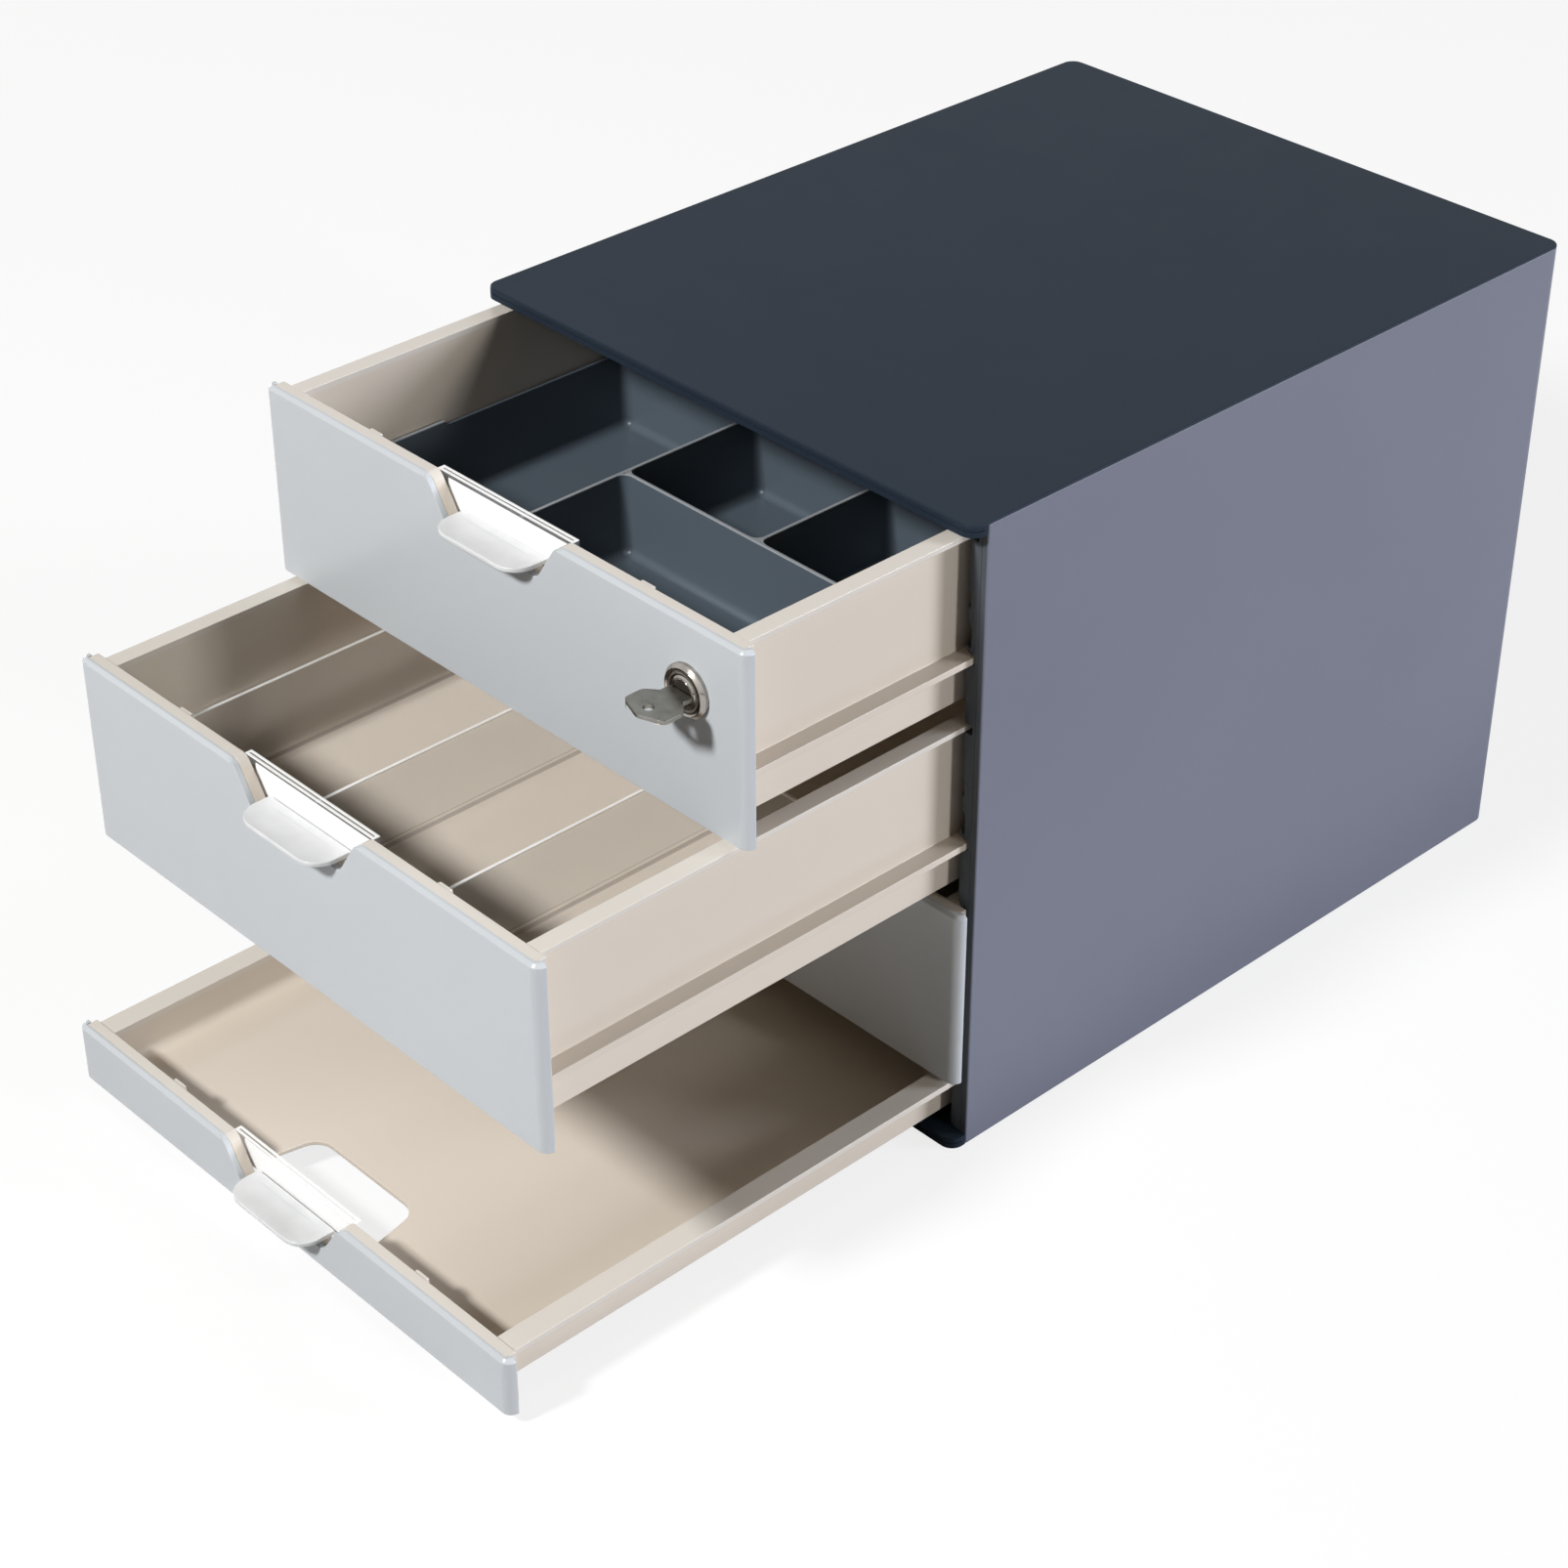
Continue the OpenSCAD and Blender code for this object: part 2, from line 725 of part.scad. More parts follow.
module cam_screw() {
    color(NICKEL) lock_placed() {
        translate([0, 0, cam_back]) cylinder(d = screw_head_d, h = screw_head_t);
        translate([0, 0, core_back - cam_t + fit_gap]) cylinder(d = screw_d, h = 2 * cam_t - fit_gap);
    }
}

// Flat key: blade in the core, neck, and an eight-sided bow with a square hole
module key() {
    half = bow_w / 2;
    far = bow_start + bow_l;
    bow = [[neck_w / 2, -bow_start], [half, -bow_start - bow_cut], [half, -far + bow_cut], [0, -far]];
    color(NICKEL) lock_placed() rotate([-90, 0, 0]) translate([0, 0, -key_t / 2]) linear_extrude(key_t)
        difference() {
            union() {
                mirror([0, 1]) polygon(concat(bow, mirrored(bow)));
                translate([-neck_w / 2, flange_t + key_gap]) square([neck_w, bow_start - flange_t]);
                translate([-blade_w / 2, -blade_l]) square([blade_w, blade_l + bow_start]);
            }
            translate([-bow_hole / 2, far - bow_cut - bow_hole]) square(bow_hole);
        }
}

// A compartment of an insert between two x and two y values
module bay(x0, x1, y0, y1) {
    translate([(x0 + x1) / 2, (y0 + y1) / 2, insert_wall]) linear_extrude(insert_h)
        rounded(x1 - x0, y1 - y0, insert_r);
}

module insert_block() {
    translate([-insert_w / 2, 0, 0]) cube([insert_w, insert_l, insert_h]);
}

// Dark insert: one long compartment on the left, a wide one at the front right, two behind it
module capsule_insert() {
    edge = insert_w / 2 - insert_wall;
    half = insert_wall / 2;
    end = insert_l - insert_wall;
    color(DARK) placed(open_top, top_z) translate([0, insert_y, insert_z]) difference() {
        insert_block();
        bay(-edge, -partition_x - half, insert_wall, end);
        bay(-partition_x + half, edge, insert_wall, insert_wall + front_bay_l);
        bay(-partition_x + half, rear_partition_x - half, 2 * insert_wall + front_bay_l, end);
        bay(rear_partition_x + half, edge, 2 * insert_wall + front_bay_l, end);
        translate([-insert_w / 2 - cut, step_y, insert_h - step_h])
            cube([insert_wall + cut + fit_gap, insert_l - step_y + cut, step_h + cut]);
    }
}

// Clear insert with three lengthwise compartments
module clear_insert() {
    edge = insert_w / 2 - insert_wall;
    half = insert_wall / 2;
    end = insert_l - insert_wall;
    color(CLEAR) placed(open_upper, upper_z) translate([0, insert_y, insert_z]) difference() {
        insert_block();
        bay(-edge, -partition_x - half, insert_wall, end);
        bay(-partition_x + half, partition_x - half, insert_wall, end);
        bay(partition_x + half, edge, insert_wall, end);
    }
}

top_panel();
bottom_panel();
left_side_panel();
right_side_panel();
back_panel();
left_runner_frame();
right_runner_frame();
rubber_pads();
top_tray();
top_front_cover();
top_pull();
top_label();
capsule_insert();
lock_barrel();
lock_nut();
lock_plug();
lock_cam();
cam_screw();
key();
upper_tray();
upper_front_cover();
upper_pull();
upper_label();
clear_insert();
lower_tray();
lower_front_cover();
lower_pull();
lower_label();
flat_tray();
flat_front_cover();
flat_pull();
flat_label();
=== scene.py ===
import math

import bpy
from bpy.props import FloatProperty, FloatVectorProperty, PointerProperty
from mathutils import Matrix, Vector


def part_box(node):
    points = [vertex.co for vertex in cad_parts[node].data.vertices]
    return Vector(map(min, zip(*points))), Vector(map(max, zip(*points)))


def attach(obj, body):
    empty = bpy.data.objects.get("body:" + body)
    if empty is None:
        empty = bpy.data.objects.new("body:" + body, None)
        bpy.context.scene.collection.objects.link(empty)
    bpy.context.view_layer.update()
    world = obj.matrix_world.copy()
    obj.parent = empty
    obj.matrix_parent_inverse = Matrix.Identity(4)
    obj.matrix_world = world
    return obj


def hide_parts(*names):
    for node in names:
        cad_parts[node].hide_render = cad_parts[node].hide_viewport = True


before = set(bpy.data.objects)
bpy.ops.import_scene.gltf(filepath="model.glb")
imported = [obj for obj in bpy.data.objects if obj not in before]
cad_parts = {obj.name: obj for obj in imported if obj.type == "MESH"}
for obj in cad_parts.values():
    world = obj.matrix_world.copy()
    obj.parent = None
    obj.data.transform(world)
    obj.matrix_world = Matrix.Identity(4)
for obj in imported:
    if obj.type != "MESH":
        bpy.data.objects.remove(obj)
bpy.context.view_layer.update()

bl_info = {
    "name": "Desktop drawer box",
    "version": (1, 0, 0),
    "blender": (4, 5, 0),
    "location": "3D View > Sidebar > Drawer box",
    "description": "Builds the looks of a desktop drawer box on its packed solids",
    "category": "Object",
}

TALL = ("top", "upper", "lower")
DRAWERS = TALL + ("flat",)
WHITE = (1.0, 1.0, 1.0)
FILL = (0.062, 0.048, 0.035)
FLOOR_TONES = ((0.92, 0.92, 0.92), (0.94, 0.94, 0.94))
FLOOR_BOUNCE = (0.30, 0.30, 0.30)
FLOOR_GLOW = 0.8
FLOOR_SIZE = 14
FLOOR_DROP = 0.0004
AIM = Vector((0, -0.05, 0.15))
# name, place, width in metres, watts and tint of each lamp
LAMPS = (
    ("key light", (-0.15, -2.5, 2.25), 0.42, 103.0, WHITE),
    ("rear side light", (4.4, 4.0, 1.65), 2.2, 308.0, (0.877, 0.904, 1.0)),
    ("side light", (3.6, 0.36, 0.87), 0.4, 42.0, WHITE),
    ("left light", (-3.5, 0.4, 0.3), 0.5, 43.0, WHITE),
)
CAMERA_PLACE = (0.878, -0.9668, 0.9041)
CAMERA_DOWN = math.radians(33.836)
CAMERA_TURN = math.radians(46.734)
CAMERA_LENS = 78.5
# width and sink of each ring on the lock's flange
FLANGE_STEPS = ((0.0009, 0.0007), (0.0016, -0.0004))


# Sizes and colours

def length(name, description, default):
    return FloatProperty(name=name, description=description, default=default, unit="LENGTH", precision=5)


def colour(name, description, default):
    return FloatVectorProperty(name=name, description=description, default=default, subtype="COLOR",
                               size=3, min=0.0, max=1.0)


class DrawerBoxSizes(bpy.types.PropertyGroup):
    """Sizes of the roundings and small details"""
    plate_edge: length("Plate edge", "Rounding of the plates' long edges", 0.0007)
    plate_groove: length("Plate groove", "Height of the fine groove round the plates' edges", 0.0004)
    panel_edge: length("Panel edge", "Rounding of the side panels' front edges", 0.0009)
    cover_edge: length("Cover edge", "Rounding of the covers' edges", 0.0003)
    tray_fillet: length("Tray fillet", "Fillet between a tall tray's floor and walls", 0.007)
    flat_fillet: length("Flat tray fillet", "Fillet between the flat tray's floor and walls", 0.005)
    insert_fillet: length("Insert fillet", "Fillet in the inserts' compartments", 0.0034)
    fine_edge: length("Fine edge", "Rounding of the other moulded edges", 0.0003)
    lip_rim: length("Lip rim", "Width of the raised rim of a grip lip", 0.0013)
    lip_hollow: length("Lip hollow", "Depth of the hollow in a grip lip", 0.0007)
    lip_slope: length("Lip slope", "Width of each step of a grip lip's hollow", 0.003)
    lip_corner: length("Lip corner", "Radius of a grip lip's front corners", 0.010)
    lip_edge: length("Lip edge", "Rounding of a grip lip's edges", 0.0005)
    groove_depth: length("Groove depth", "Depth of the fine groove in the plates", 0.0005)
    slot_gap: length("Slot gap", "Half the width of a window's card slot", 0.0004)
    # Heights of the bands of painted highlight along the rims of the trays, the dark insert and the windows.
    tray_rim_highlight: length("Tray rim height", "Height of the paler rim of a tray", 0.0032)
    insert_rim_highlight: length("Insert rim height", "Height of the paler rim of an insert", 0.0005)
    window_rim_highlight: length("Window rim height", "Height of the bright rim of a window", 0.0004)
    # Heights of the band of painted shade along the clear insert's foot.
    foot_low: length("Foot line start", "Height where the clear insert's foot line starts", 0.0024)
    foot_high: length("Foot line end", "Height where the clear insert's foot line ends", 0.0038)
    lock_edge: length("Lock edge", "Rounding of the lock's edges", 0.0002)
    key_edge: length("Key edge", "Rounding of the key's edges", 0.00015)
    key_corner: length("Key corner", "Rounding of the key's bow", 0.0016)
    key_bow: length("Key bow", "Length of the key's bow", 0.016)
    key_border: length("Key border", "Width of the raised border of the key", 0.0007)
    key_sink: length("Key sink", "Depth of the key's faces below their border", 0.00012)


class DrawerBoxColours(bpy.types.PropertyGroup):
    """Colours of the finishes"""
    slate: colour("Slate", "Top and bottom plates", (0.0180, 0.0270, 0.0405))
    # Side panel: the slate made lighter, as painted light for the stronger light falling on the sides.
    panel: colour("Side panel", "Side and back panels", (0.152, 0.163, 0.212))
    runner: colour("Runner", "Runner frames inside the housing", (0.066, 0.076, 0.088))
    cover: colour("Cover", "Front covers", (0.522, 0.552, 0.578))
    tray: colour("Tray", "Trays and their front walls", (0.630, 0.565, 0.485))
    # Tray rim: a paler tone painted on the trays' rims as a highlight.
    rim: colour("Tray rim", "Rims of the trays", (0.640, 0.600, 0.540))
    insert: colour("Dark insert", "Capsule insert", (0.084, 0.107, 0.130))
    # Dark insert rim: a paler tone painted on the insert's top edges as a highlight, where they catch the
    # light.
    insert_rim_highlight: colour("Dark insert rim", "Painted highlight on the capsule insert's rims", (0.300, 0.320, 0.340))
    clear: colour("Clear insert", "Clear insert", (0.880, 0.840, 0.790))
    window: colour("Label window", "Clear label windows", (0.930, 0.930, 0.930))
    # Clear rim: painted highlight along the top rims of the clear insert and the windows.
    clear_rim_highlight: colour("Clear rim", "Bright rims of the clear plastic", (0.950, 0.950, 0.940))
    # Clear foot: painted shade along the foot of the clear insert, where its walls meet the floor.
    clear_foot_shade: colour("Clear foot", "Line along the foot of the clear insert", (0.240, 0.200, 0.200))
    frosted: colour("Frosted", "Grip lips", (0.700, 0.710, 0.720))
    card: colour("Card", "Label cards", (0.900, 0.900, 0.895))
    nickel: colour("Nickel", "Edges of the lock", (0.380, 0.355, 0.320))
    # Lock face: the lock's flat front faces darkened as a painted dark reflection; the edges keep the bright
    # nickel.
    lock_face: colour("Lock face", "Flat faces of the lock", (0.090, 0.076, 0.066))
    key: colour("Key", "Key", (0.270, 0.265, 0.240))
    steel: colour("Steel", "Cam, nut and screw", (0.480, 0.480, 0.480))
    rubber: colour("Rubber", "Anti-slip pads", (0.020, 0.020, 0.021))


def sizes():
    return bpy.context.scene.drawer_box_sizes


def colours():
    return bpy.context.scene.drawer_box_colours


# Modelling helpers

def only(piece):
    """Makes a piece the one selected and active object."""
    if bpy.context.object and bpy.context.object.mode != "OBJECT":
        bpy.ops.object.mode_set(mode="OBJECT")
    bpy.ops.object.select_all(action="DESELECT")
    piece.select_set(True)
    bpy.context.view_layer.objects.active = piece


def merged_copy(node, name, cuts=None):
    """A copy of a node's solid as one closed shell with whole flat faces, split along any planes in cuts."""
    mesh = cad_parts[node].data.copy()
    mesh.materials.clear()
    piece = bpy.data.objects.new(name, mesh)
    bpy.context.scene.collection.objects.link(piece)
    only(piece)
    bpy.ops.object.mode_set(mode="EDIT")
    bpy.ops.mesh.select_all(action="SELECT")
    bpy.ops.mesh.remove_doubles(threshold=0.00001)
    bpy.ops.mesh.customdata_custom_splitnormals_clear()
    bpy.ops.mesh.dissolve_limited(angle_limit=math.radians(0.6))
    if cuts is None:
        bpy.ops.mesh.vert_connect_concave()
    for place, normal in cuts or ():
        bpy.ops.mesh.select_all(action="SELECT")
        bpy.ops.mesh.bisect(plane_co=place, plane_no=normal)
    bpy.ops.object.mode_set(mode="OBJECT")
    return piece


def pick(piece, part, test):
    """Selects the bent edges or the faces that pass a test, and leaves the piece in edit mode."""
    only(piece)
    bpy.ops.object.mode_set(mode="EDIT")
    bpy.ops.mesh.select_mode(type=part)
    bpy.ops.mesh.select_all(action="DESELECT")
    bpy.ops.object.mode_set(mode="OBJECT")
    mesh = piece.data
    found = 0
    if part == "EDGE":
        sides = {}
        for face in mesh.polygons:
            for key in face.edge_keys:
                sides.setdefault(key, []).append(face.normal)
        for edge in mesh.edges:
            a, b = (mesh.vertices[i].co for i in edge.vertices)
            first, second = sides[edge.key]
            edge.select = first.dot(second) < 0.95 and bool(test(a, b))
            found += edge.select
    else:
        for face in mesh.polygons:
            face.select = bool(test(face.center, face.normal))
            found += face.select
    if not found:
        raise RuntimeError(f"{piece.name}: nothing to select")
    bpy.ops.object.mode_set(mode="EDIT")


def near(value, target, slack=0.0001):
    return abs(value - target) < slack


def round_edges(piece, test, radius, segments):
    """Rounds the edges that pass a test."""
    pick(piece, "EDGE", test)
    bpy.ops.mesh.bevel(offset=radius, segments=segments, profile=0.5, affect="EDGES", clamp_overlap=True)
    bpy.ops.object.mode_set(mode="OBJECT")


def split_at(piece, height):
    """Cuts a piece's faces along a level plane, keeping both sides."""
    only(piece)
    bpy.ops.object.mode_set(mode="EDIT")
    bpy.ops.mesh.select_all(action="SELECT")
    bpy.ops.mesh.bisect(plane_co=(0, 0, height), plane_no=(0, 0, 1))
    bpy.ops.object.mode_set(mode="OBJECT")


def soften(piece, width, segments=2, angle=30):
    """Rounds every edge that is still sharp, and shades the piece smooth."""
    only(piece)
    bpy.ops.object.modifier_add(type="BEVEL")
    rounding = piece.modifiers[-1]
    rounding.width = width
    rounding.segments = segments
    rounding.limit_method = "ANGLE"
    rounding.angle_limit = math.radians(angle)
    rounding.use_clamp_overlap = False
    bpy.ops.object.modifier_apply(modifier=rounding.name)
    smooth(piece)


def smooth(piece):
    """Shades a piece smooth, with its broad faces flat."""
    only(piece)
    bpy.ops.object.shade_smooth_by_angle(angle=math.radians(50))
    bpy.ops.object.modifier_add(type="WEIGHTED_NORMAL")
    flats = piece.modifiers[-1]
    flats.keep_sharp = True
    bpy.ops.object.modifier_apply(modifier=flats.name)


def block(name, low, high):
    """A box between two corners, as the start of a piece."""
    middle = [(a + b) / 2 for a, b in zip(low, high)]
    bpy.ops.object.select_all(action="DESELECT")
    bpy.ops.mesh.primitive_cube_add(size=1, location=middle)
    piece = bpy.context.object
    piece.name = name
    piece.scale = [b - a for a, b in zip(low, high)]
    bpy.ops.object.transform_apply(location=True, rotation=True, scale=True)
    return piece


def dress(piece, material, body, slot, *nodes):
    """Gives a finished piece its material, the body it rides on and the nodes it stands for."""
    piece.data.materials.clear()
    piece.data.materials.append(material)
    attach(piece, body)
    if nodes:
        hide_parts(*nodes)


def face_finish(piece, material, test):
    """Gives the faces that pass a test a second finish."""
    piece.data.materials.append(material)
    for face in piece.data.polygons:
        if test(face.center, face.normal):
            face.material_index = len(piece.data.materials) - 1


def paint(node, material):
    """Gives a carried-over node a finish of its own."""
    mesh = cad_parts[node].data
    mesh.materials.clear()
    mesh.materials.append(material)


# Finishes

def figure(tree, operation, *values):
    """A Math node on outputs of other nodes or plain numbers."""
    node = tree.nodes.new("ShaderNodeMath")
    node.operation = operation
    for value, socket in zip(values, node.inputs):
        if isinstance(value, (int, float)):
            socket.default_value = value
        else:
            tree.links.new(value, socket)
    return node.outputs["Value"]


class Finish:
    """A material's node tree, with short calls to add and join nodes."""

    def __init__(self, name):
        self.material = bpy.data.materials.new(name)
        self.material.use_nodes = True
        self.tree = self.material.node_tree
        self.shader = self.tree.nodes["Principled BSDF"]
        self.coords = self.tree.nodes.new("ShaderNodeTexCoord").outputs["Object"]

    def set(self, **values):
        for name, value in values.items():
            self.shader.inputs[name.replace("_", " ")].default_value = value

    def join(self, output, target):
        self.tree.links.new(output, target)

    def noise(self, scale, detail=3.0, stretch=None):
        node = self.tree.nodes.new("ShaderNodeTexNoise")
        node.inputs["Scale"].default_value = scale
        node.inputs["Detail"].default_value = detail
        source = self.coords
        if stretch:
            mapping = self.tree.nodes.new("ShaderNodeMapping")
            mapping.inputs["Scale"].default_value = stretch
            self.join(source, mapping.inputs["Vector"])
            source = mapping.outputs["Vector"]
        self.join(source, node.inputs["Vector"])
        return node.outputs["Fac"]

    def spread(self, factor, low, high):
        node = self.tree.nodes.new("ShaderNodeMapRange")
        node.inputs["From Min"].default_value = 0.3
        node.inputs["From Max"].default_value = 0.7
        node.inputs["To Min"].default_value = low
        node.inputs["To Max"].default_value = high
        self.join(factor, node.inputs["Value"])
        return node.outputs["Result"]

    @staticmethod
    def plug(node, name):
        """A mix node's colour input, among its inputs of the same name."""
        return next(i for i in node.inputs if i.name == name and i.type == "RGBA")

    def blend(self, factor, first, second):
        node = self.tree.nodes.new("ShaderNodeMix")
        node.data_type = "RGBA"
        self.plug(node, "A").default_value = (*first, 1.0)
        self.plug(node, "B").default_value = (*second, 1.0)
        self.join(factor, node.inputs["Factor"])
        return next(o for o in node.outputs if o.type == "RGBA")

    def over(self, factor, output, second):
        node = self.tree.nodes.new("ShaderNodeMix")
        node.data_type = "RGBA"
        self.plug(node, "B").default_value = (*second, 1.0)
        self.join(output, self.plug(node, "A"))
        self.join(factor, node.inputs["Factor"])
        return next(o for o in node.outputs if o.type == "RGBA")

    def above(self, level, soft=0.0002):
        """1 above a level of the piece, 0 below it."""
        parts = self.tree.nodes.new("ShaderNodeSeparateXYZ")
        self.join(self.coords, parts.inputs["Vector"])
        node = self.tree.nodes.new("ShaderNodeMapRange")
        node.inputs["From Min"].default_value = level - soft
        node.inputs["From Max"].default_value = level + soft
        self.join(parts.outputs["Z"], node.inputs["Value"])
        return node.outputs["Result"]

    def between(self, low, high):
        """1 between two levels of the piece, 0 outside them."""
        return figure(self.tree, "SUBTRACT", self.above(low), self.above(high))

    def times(self, first, second):
        return figure(self.tree, "MULTIPLY", first, second)

    def larger(self, first, second):
        return figure(self.tree, "MAXIMUM", first, second)

    def bump(self, height, strength, distance):
        node = self.tree.nodes.new("ShaderNodeBump")
        node.inputs["Strength"].default_value = strength
        node.inputs["Distance"].default_value = distance
        self.join(height, node.inputs["Height"])
        self.join(node.outputs["Normal"], self.shader.inputs["Normal"])


def shaded(tone, amount):
    return [max(0.0, min(1.0, c * amount)) for c in tone]


def moulded(name, tone, roughness, grain=0.05, drift=0.03, specular=0.35, rim=None):
    """Moulded plastic: slow drift of tone, fine grain, uneven gloss, and, if asked, a painted highlight: a
    paler tone above a given level.
    """
    finish = Finish(name)
    slow = finish.noise(7.0)
    fine = finish.noise(1500.0, 2.0)
    tint = finish.blend(finish.spread(slow, 0.0, 1.0), shaded(tone, 1 - drift), shaded(tone, 1 + drift))
    # Painted highlight: a paler tone on the faces above the given level.
    if rim:
        level, pale = rim
        tint = finish.over(finish.above(level), tint, pale)
    finish.join(tint, finish.shader.inputs["Base Color"])
    finish.join(finish.spread(finish.noise(38.0), roughness - 0.015, roughness + 0.015),
                finish.shader.inputs["Roughness"])
    finish.bump(fine, grain, 0.00004)
    finish.set(Specular_IOR_Level=specular)
    return finish.material


def clear_plastic(name, tone, alpha, veil, roughness, rim, foot=None):
    """Clear styrene with a painted highlight along its top rims and, if asked, a painted shade line along its
    foot. It casts no shadow.
    """
    finish = Finish(name)
    flow = finish.noise(60.0, 2.0, (1.0, 0.2, 1.0))
    tint = finish.blend(finish.spread(flow, 0.0, 1.0), shaded(tone, 0.98), shaded(tone, 1.02))
    # Painted highlight: a pale, nearly opaque band along the top rims.
    tops = finish.above(rim)
    tint = finish.over(tops, tint, colours().clear_rim_highlight)
    # Painted shade: a darker, half-opaque line along the foot.
    if foot:
        line = finish.between(*foot)
        tint = finish.over(line, tint, colours().clear_foot_shade)
    finish.join(tint, finish.shader.inputs["Base Color"])
    finish.join(finish.spread(flow, roughness - 0.03, roughness + 0.03), finish.shader.inputs["Roughness"])
    edge = finish.tree.nodes.new("ShaderNodeLayerWeight")
    edge.inputs["Blend"].default_value = 0.35
    haze = finish.tree.nodes.new("ShaderNodeMapRange")
    haze.inputs["To Min"].default_value = alpha
    haze.inputs["To Max"].default_value = alpha + veil
    finish.join(edge.outputs["Facing"], haze.inputs["Value"])
    # The painted highlight and painted shade bands are made more opaque than the clear body.
    cover = finish.larger(haze.outputs["Result"], finish.times(tops, 0.85))
    if foot:
        cover = finish.larger(cover, finish.times(line, 0.45))
    rays = finish.tree.nodes.new("ShaderNodeLightPath")
    unshaded = figure(finish.tree, "SUBTRACT", 1.0, rays.outputs["Is Shadow Ray"])
    finish.join(finish.times(cover, unshaded), finish.shader.inputs["Alpha"])
    finish.set(IOR=1.5, Specular_IOR_Level=0.5)
    return finish.material


def frosted_plastic(name, tone):
    """Milky translucent plastic of the grip lips."""
    finish = Finish(name)
    cloud = finish.noise(90.0, 2.0)
    tint = finish.blend(finish.spread(cloud, 0.0, 1.0), shaded(tone, 0.96), shaded(tone, 1.04))
    finish.join(tint, finish.shader.inputs["Base Color"])
    finish.join(finish.spread(cloud, 0.16, 0.26), finish.shader.inputs["Roughness"])
    finish.bump(finish.noise(1500.0, 2.0), 0.05, 0.00005)
    finish.set(Subsurface_Weight=0.25, Subsurface_Radius=(1.0, 1.0, 1.0), Subsurface_Scale=0.002,
               Coat_Weight=0.3, Coat_Roughness=0.1)
    return finish.material


def plated(name, tone, roughness):
    """Bright plating with fine turning marks and small smudges."""
    finish = Finish(name)
    marks = finish.noise(900.0, 3.0, (1.0, 0.05, 1.0))
    smudge = finish.noise(220.0, 3.0)
    tint = finish.blend(finish.spread(smudge, 0.0, 1.0), shaded(tone, 0.86), shaded(tone, 1.08))
    finish.join(tint, finish.shader.inputs["Base Color"])
    finish.join(finish.spread(smudge, roughness - 0.05, roughness + 0.09), finish.shader.inputs["Roughness"])
    finish.bump(marks, 0.06, 0.00005)
    finish.set(Metallic=1.0)
    return finish.material


def card_stock(name, tone):
    """Plain white card with a faint fibre."""
    finish = Finish(name)
    fibre = finish.noise(1800.0, 4.0, (0.4, 1.0, 1.0))
    tint = finish.blend(finish.spread(fibre, 0.0, 1.0), shaded(tone, 0.98), shaded(tone, 1.02))
    finish.join(tint, finish.shader.inputs["Base Color"])
    finish.join(finish.spread(fibre, 0.62, 0.78), finish.shader.inputs["Roughness"])
    finish.bump(fibre, 0.06, 0.00005)
    return finish.material


def rubber_sheet(name, tone):
    """Matte rubber with a fine skin."""
    finish = Finish(name)
    skin = finish.noise(900.0, 3.0)
    tint = finish.blend(finish.spread(skin, 0.0, 1.0), shaded(tone, 0.8), shaded(tone, 1.3))
    finish.join(tint, finish.shader.inputs["Base Color"])
    finish.join(finish.spread(skin, 0.7, 0.85), finish.shader.inputs["Roughness"])
    finish.bump(skin, 0.2, 0.0001)
    return finish.material


FINISHES = {}


# Operators

class DRAWERBOX_OT_finishes(bpy.types.Operator):
    """Make the finishes that the pieces share"""
    bl_idname = "drawer_box.finishes"
    bl_label = "Finishes"

    def execute(self, context):
        tone = colours()
        size = sizes()
        # Painted highlight: the dark insert turns paler along its top edges.
        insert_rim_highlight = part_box("capsule_insert")[1].z - size.insert_rim_highlight
        clear_low, clear_high = (corner.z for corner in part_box("clear_insert"))
        # Painted shade: the clear insert darkens in a band along its foot.
        foot = (clear_low + size.foot_low, clear_low + size.foot_high)
        for drawer in DRAWERS:
            # Painted highlight along each window's top rim.
            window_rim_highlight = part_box(f"{drawer}_pull")[1].z - size.window_rim_highlight
            FINISHES[f"{drawer} window"] = clear_plastic(
                f"{drawer} window plastic", tone.window, 0.02, 0.06, 0.08, window_rim_highlight)
            # Painted highlight: each tray turns paler above its rim level.
            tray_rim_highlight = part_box(f"{drawer}_tray")[1].z - size.tray_rim_highlight
            FINISHES[f"{drawer} tray"] = moulded(
                f"{drawer} tray plastic", tone.tray, 0.20, 0.0, 0.015, 0.45, (tray_rim_highlight, tone.rim))
        FINISHES.update(
            slate=moulded("slate plastic", tone.slate, 0.45, 0.06, 0.03, 0.05),
            # The side panel plastic is the slate made lighter: painted light on the side and back panels.
            panel=moulded("side panel plastic", tone.panel, 0.36, 0.05, 0.03, 0.30),
            runner=moulded("runner plastic", tone.runner, 0.48, 0.05, 0.04, 0.15),
            cover=moulded("cover plastic", tone.cover, 0.24, 0.0, 0.012, 0.45),
            insert=moulded("dark insert plastic", tone.insert, 0.34, 0.03, 0.04, 0.35,
                           (insert_rim_highlight, tone.insert_rim_highlight)),
            # Painted highlight along the clear insert's top rims.
            clear=clear_plastic("clear insert plastic", tone.clear, 0.03, 0.26, 0.12,
                                clear_high - size.insert_rim_highlight, foot),
            frosted=frosted_plastic("frosted lip plastic", tone.frosted),
            nickel=plated("nickel plate", tone.nickel, 0.16),
            # Shaded nickel: the painted dark reflection on the lock's flat faces.
            lock_face=plated("shaded nickel", tone.lock_face, 0.18),
            key=plated("key nickel", tone.key, 0.30),
            steel=plated("zinc plate", tone.steel, 0.30),
            card=card_stock("label card", tone.card),
            rubber=rubber_sheet("pad rubber", tone.rubber),
        )
        return {"FINISHED"}


